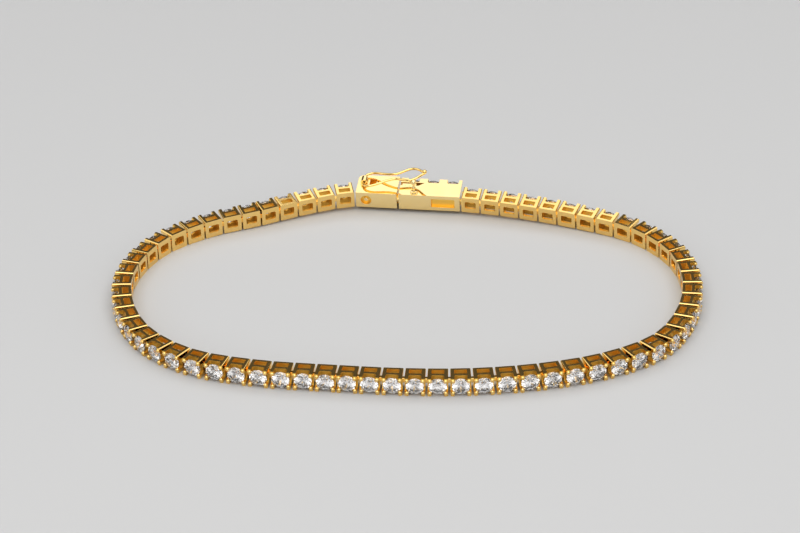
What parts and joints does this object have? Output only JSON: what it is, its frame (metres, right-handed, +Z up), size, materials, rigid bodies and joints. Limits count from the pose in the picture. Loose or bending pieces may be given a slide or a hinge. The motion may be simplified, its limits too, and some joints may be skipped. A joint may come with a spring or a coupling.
{
  "type": "tennis bracelet",
  "caption": "Yellow gold line bracelet of square box links, each with a round clear stone, closed by a box clasp with figure-of-eight safety catches; lies on its edge as an oval loop.",
  "frame": {"origin": "middle of the loop, in the surface that the strip's lower edge rests on", "axes": "+X along the loop's longer way, +Z up, +Y towards the clasp"},
  "size_m": [0.0732, 0.0496, 0.0056],
  "materials": {
    "yellow_gold": "mirror-polished yellow gold",
    "gold_wire": "polished yellow gold wire",
    "clear_stone": "round brilliant-cut colourless stone"
  },
  "bodies": {
    "bracelet": {"chain_right": "yellow_gold", "chain_left": "yellow_gold", "clasp_tongue": "yellow_gold", "clasp_box": "yellow_gold", "clasp_stone_1": "clear_stone", "clasp_stone_2": "clear_stone", "clasp_stone_3": "clear_stone"},
    "upper_catch": {"catch_upper": "gold_wire"},
    "lower_catch": {"catch_lower": "gold_wire"}
  },
  "joints": [
    {"name": "upper_catch_hinge", "type": "hinge", "parent": "bracelet", "child": "upper_catch", "pos_m": [-0.00511, 0.02277, 0.00349], "axis": [-0.1487, -0.9764, -0.1564], "range_deg": [-12, 90]},
    {"name": "lower_catch_hinge", "type": "hinge", "parent": "bracelet", "child": "lower_catch", "pos_m": [-0.00504, 0.02323, 0.00055], "axis": [0.1487, 0.9764, 0.1564], "range_deg": [0, 80]}
  ]
}
